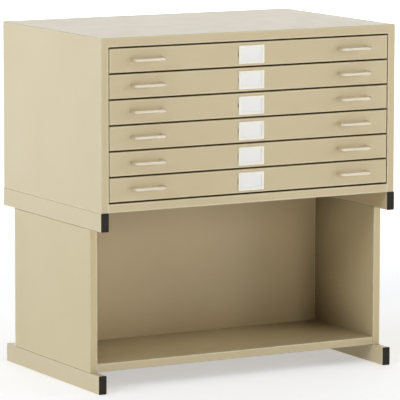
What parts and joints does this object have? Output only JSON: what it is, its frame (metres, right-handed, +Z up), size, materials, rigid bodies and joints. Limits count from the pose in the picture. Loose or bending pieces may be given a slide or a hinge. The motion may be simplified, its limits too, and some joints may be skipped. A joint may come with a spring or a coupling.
{
  "type": "flat file cabinet",
  "caption": "Sand-painted steel flat file with shallow roller drawers, bar pulls and card holders, on an open base with a book shelf and tube rails.",
  "frame": {"origin": "on the floor, under the centre of the bounding box, pulls included", "axes": "+X to the right seen from the front, +Y towards the back, +Z up; drawers open along -Y"},
  "size_m": [1.03, 0.699, 1.0778],
  "materials": {
    "paint": "sand beige baked enamel, satin",
    "bare_steel": "plain galvanised sheet",
    "zinc": "zinc plated",
    "pull_metal": "satin nickel plated",
    "holder_plastic": "ivory, smooth",
    "card": "blank white card",
    "nylon": "natural nylon",
    "cap_plastic": "black, lightly textured"
  },
  "bodies": {
    "cabinet": {"case_shell": "paint", "case_bottom": "paint", "case_back": "paint", "case_posts": "bare_steel", "runners_left": "bare_steel", "runners_right": "bare_steel", "base_side_left": "paint", "base_side_right": "paint", "base_liners": "paint", "upper_rail_left": "paint", "upper_rail_right": "paint", "foot_rail_left": "paint", "foot_rail_right": "paint", "rail_end_caps": "cap_plastic", "shelf": "paint", "base_back": "paint", "base_bolts": "zinc"},
    "drawer_1": {"drawer_1_tray": "paint", "drawer_1_front": "paint", "drawer_1_pulls": "pull_metal", "drawer_1_label_holder": "holder_plastic", "drawer_1_label_card": "card"},
    "drawer_1_rear_rollers": {"drawer_1_rear_rollers": "nylon"},
    "case_rollers_1": {"case_rollers_1": "nylon"},
    "drawer_2": {"drawer_2_tray": "paint", "drawer_2_front": "paint", "drawer_2_pulls": "pull_metal", "drawer_2_label_holder": "holder_plastic", "drawer_2_label_card": "card"},
    "drawer_2_rear_rollers": {"drawer_2_rear_rollers": "nylon"},
    "case_rollers_2": {"case_rollers_2": "nylon"},
    "drawer_3": {"drawer_3_tray": "paint", "drawer_3_front": "paint", "drawer_3_pulls": "pull_metal", "drawer_3_label_holder": "holder_plastic", "drawer_3_label_card": "card"},
    "drawer_3_rear_rollers": {"drawer_3_rear_rollers": "nylon"},
    "case_rollers_3": {"case_rollers_3": "nylon"},
    "drawer_4": {"drawer_4_tray": "paint", "drawer_4_front": "paint", "drawer_4_pulls": "pull_metal", "drawer_4_label_holder": "holder_plastic", "drawer_4_label_card": "card"},
    "drawer_4_rear_rollers": {"drawer_4_rear_rollers": "nylon"},
    "case_rollers_4": {"case_rollers_4": "nylon"},
    "drawer_5": {"drawer_5_tray": "paint", "drawer_5_front": "paint", "drawer_5_pulls": "pull_metal", "drawer_5_label_holder": "holder_plastic", "drawer_5_label_card": "card"},
    "drawer_5_rear_rollers": {"drawer_5_rear_rollers": "nylon"},
    "case_rollers_5": {"case_rollers_5": "nylon"},
    "drawer_6": {"drawer_6_tray": "paint", "drawer_6_front": "paint", "drawer_6_pulls": "pull_metal", "drawer_6_label_holder": "holder_plastic", "drawer_6_label_card": "card"},
    "drawer_6_rear_rollers": {"drawer_6_rear_rollers": "nylon"},
    "case_rollers_6": {"case_rollers_6": "nylon"}
  },
  "joints": [
    {"name": "drawer_1_slide", "type": "slide", "parent": "cabinet", "child": "drawer_1", "axis": [0, -1, 0], "range_m": [0, 0.52]},
    {"name": "drawer_1_rear_rollers_spin", "type": "hinge", "parent": "drawer_1", "child": "drawer_1_rear_rollers", "pos_m": [0, 0.3025, 0.9957], "axis": [1, 0, 0], "range_deg": [-5, 2985]},
    {"name": "case_rollers_1_spin", "type": "hinge", "parent": "cabinet", "child": "case_rollers_1", "pos_m": [0, -0.2735, 1.0259], "axis": [1, 0, 0], "range_deg": [-5, 2985]},
    {"name": "drawer_2_slide", "type": "slide", "parent": "cabinet", "child": "drawer_2", "axis": [0, -1, 0], "range_m": [0, 0.52]},
    {"name": "drawer_2_rear_rollers_spin", "type": "hinge", "parent": "drawer_2", "child": "drawer_2_rear_rollers", "pos_m": [0, 0.3025, 0.9181], "axis": [1, 0, 0], "range_deg": [-5, 2985]},
    {"name": "case_rollers_2_spin", "type": "hinge", "parent": "cabinet", "child": "case_rollers_2", "pos_m": [0, -0.2735, 0.9483], "axis": [1, 0, 0], "range_deg": [-5, 2985]},
    {"name": "drawer_3_slide", "type": "slide", "parent": "cabinet", "child": "drawer_3", "axis": [0, -1, 0], "range_m": [0, 0.52]},
    {"name": "drawer_3_rear_rollers_spin", "type": "hinge", "parent": "drawer_3", "child": "drawer_3_rear_rollers", "pos_m": [0, 0.3025, 0.8405], "axis": [1, 0, 0], "range_deg": [-5, 2985]},
    {"name": "case_rollers_3_spin", "type": "hinge", "parent": "cabinet", "child": "case_rollers_3", "pos_m": [0, -0.2735, 0.8707], "axis": [1, 0, 0], "range_deg": [-5, 2985]},
    {"name": "drawer_4_slide", "type": "slide", "parent": "cabinet", "child": "drawer_4", "axis": [0, -1, 0], "range_m": [0, 0.52]},
    {"name": "drawer_4_rear_rollers_spin", "type": "hinge", "parent": "drawer_4", "child": "drawer_4_rear_rollers", "pos_m": [0, 0.3025, 0.7629], "axis": [1, 0, 0], "range_deg": [-5, 2985]},
    {"name": "case_rollers_4_spin", "type": "hinge", "parent": "cabinet", "child": "case_rollers_4", "pos_m": [0, -0.2735, 0.7931], "axis": [1, 0, 0], "range_deg": [-5, 2985]},
    {"name": "drawer_5_slide", "type": "slide", "parent": "cabinet", "child": "drawer_5", "axis": [0, -1, 0], "range_m": [0, 0.52]},
    {"name": "drawer_5_rear_rollers_spin", "type": "hinge", "parent": "drawer_5", "child": "drawer_5_rear_rollers", "pos_m": [0, 0.3025, 0.6853], "axis": [1, 0, 0], "range_deg": [-5, 2985]},
    {"name": "case_rollers_5_spin", "type": "hinge", "parent": "cabinet", "child": "case_rollers_5", "pos_m": [0, -0.2735, 0.7155], "axis": [1, 0, 0], "range_deg": [-5, 2985]},
    {"name": "drawer_6_slide", "type": "slide", "parent": "cabinet", "child": "drawer_6", "axis": [0, -1, 0], "range_m": [0, 0.52]},
    {"name": "drawer_6_rear_rollers_spin", "type": "hinge", "parent": "drawer_6", "child": "drawer_6_rear_rollers", "pos_m": [0, 0.3025, 0.6077], "axis": [1, 0, 0], "range_deg": [-5, 2985]},
    {"name": "case_rollers_6_spin", "type": "hinge", "parent": "cabinet", "child": "case_rollers_6", "pos_m": [0, -0.2735, 0.6379], "axis": [1, 0, 0], "range_deg": [-5, 2985]}
  ],
  "couplings": [
    {"joint": "drawer_1_rear_rollers_spin", "follows": "drawer_1_slide", "rad_per_m": 100},
    {"joint": "case_rollers_1_spin", "follows": "drawer_1_slide", "rad_per_m": 100},
    {"joint": "drawer_2_rear_rollers_spin", "follows": "drawer_2_slide", "rad_per_m": 100},
    {"joint": "case_rollers_2_spin", "follows": "drawer_2_slide", "rad_per_m": 100},
    {"joint": "drawer_3_rear_rollers_spin", "follows": "drawer_3_slide", "rad_per_m": 100},
    {"joint": "case_rollers_3_spin", "follows": "drawer_3_slide", "rad_per_m": 100},
    {"joint": "drawer_4_rear_rollers_spin", "follows": "drawer_4_slide", "rad_per_m": 100},
    {"joint": "case_rollers_4_spin", "follows": "drawer_4_slide", "rad_per_m": 100},
    {"joint": "drawer_5_rear_rollers_spin", "follows": "drawer_5_slide", "rad_per_m": 100},
    {"joint": "case_rollers_5_spin", "follows": "drawer_5_slide", "rad_per_m": 100},
    {"joint": "drawer_6_rear_rollers_spin", "follows": "drawer_6_slide", "rad_per_m": 100},
    {"joint": "case_rollers_6_spin", "follows": "drawer_6_slide", "rad_per_m": 100}
  ]
}
